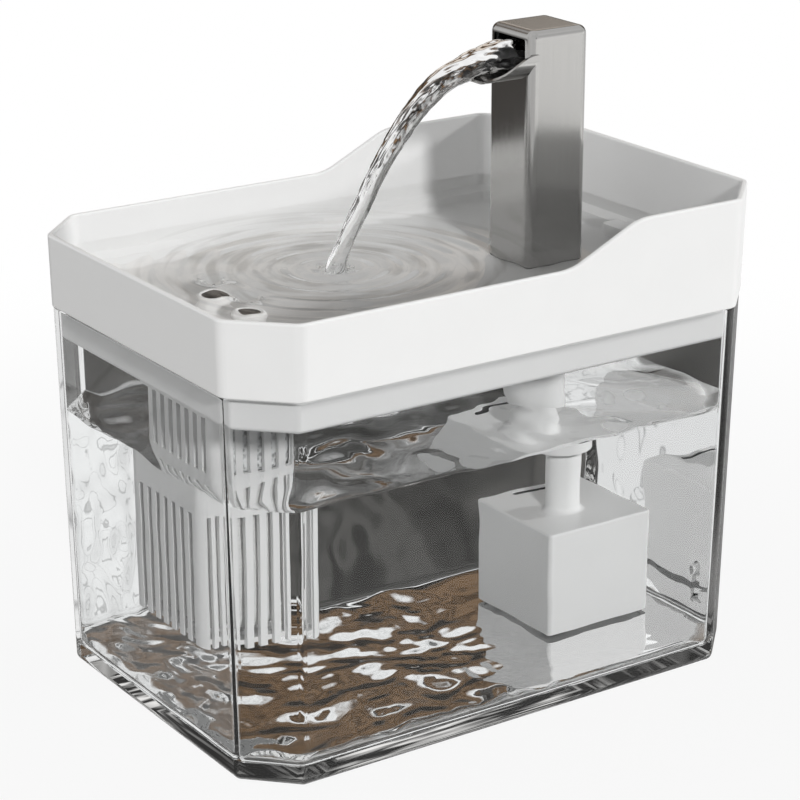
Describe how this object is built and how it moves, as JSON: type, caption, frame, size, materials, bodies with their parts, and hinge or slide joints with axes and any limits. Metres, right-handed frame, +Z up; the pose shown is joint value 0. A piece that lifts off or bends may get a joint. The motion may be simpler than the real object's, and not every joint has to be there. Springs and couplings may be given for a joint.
{
  "type": "pet water fountain",
  "caption": "Pet water fountain: clear octagonal tank, white drinking tray with a high rear rim, brushed tap column with an open chute, slotted filter basket and boxed pump.",
  "frame": {"origin": "centre of the tank's flat underside", "axes": "+Z up, -Y is the front where the pet drinks, +X is the right side seen from the front"},
  "size_m": [0.145, 0.202, 0.2119],
  "materials": {
    "clear_plastic": "clear moulded, polished",
    "white_plastic": "white moulded, satin",
    "brushed_metal": "vertical brushed",
    "black_plastic": "moulded, satin",
    "grey_plastic": "moulded",
    "rubber": "soft moulded",
    "clear_rubber": "soft translucent",
    "foam": "open cell",
    "nonwoven": "needled felt",
    "core_steel": "laminated",
    "copper": "enamelled wire",
    "board": "solder mask",
    "resin": "cast",
    "ceramic": "ground",
    "magnet": "sintered"
  },
  "bodies": {
    "tank": {"tank": "clear_plastic"},
    "tray": {"tray": "white_plastic", "overflow_pipes": "white_plastic", "basket_collar": "white_plastic", "floor_ribs": "white_plastic", "riser_socket": "white_plastic"},
    "faucet": {"faucet_column": "brushed_metal", "spout_chute": "brushed_metal", "spout_duct": "black_plastic", "faucet_stem": "black_plastic", "stem_ring": "rubber", "column_gasket": "rubber"},
    "filter": {"filter_basket": "white_plastic", "filter_sponge": "foam", "filter_cartridge": "nonwoven"},
    "pump": {"pump_base": "white_plastic", "suction_cups": "clear_rubber", "volute": "grey_plastic", "volute_cover": "grey_plastic", "volute_seal": "rubber", "motor_case": "grey_plastic", "stator_core": "core_steel", "stator_coils": "copper", "driver_board": "board", "potting_plug": "resin", "rotor_shaft": "ceramic", "front_bush": "rubber", "rear_bush": "rubber", "cable_gland": "white_plastic", "intake_sponge": "foam"},
    "impeller": {"impeller": "white_plastic", "rotor_magnet": "magnet"},
    "pump_cover": {"pump_box": "white_plastic", "outlet_tube": "white_plastic", "tube_seal": "clear_rubber"}
  },
  "joints": [
    {"name": "tray_lift", "type": "slide", "parent": "tank", "child": "tray", "axis": [0, 0, 1], "range_m": [0, 0.12]},
    {"name": "faucet_pull", "type": "slide", "parent": "tray", "child": "faucet", "axis": [0, 0, 1], "range_m": [0, 0.03]},
    {"name": "filter_drop", "type": "slide", "parent": "tray", "child": "filter", "axis": [0, 0, -1], "range_m": [0, 0.02]},
    {"name": "pump_lift", "type": "slide", "parent": "tank", "child": "pump", "axis": [0, 0, 1], "range_m": [0, 0.006]},
    {"name": "cover_lift", "type": "slide", "parent": "pump", "child": "pump_cover", "axis": [0, 0, 1], "range_m": [0, 0.006]},
    {"name": "impeller_spin", "type": "hinge", "parent": "pump", "child": "impeller", "pos_m": [0, 0.063, 0.0263], "axis": [1, 0, 0], "continuous": true}
  ]
}
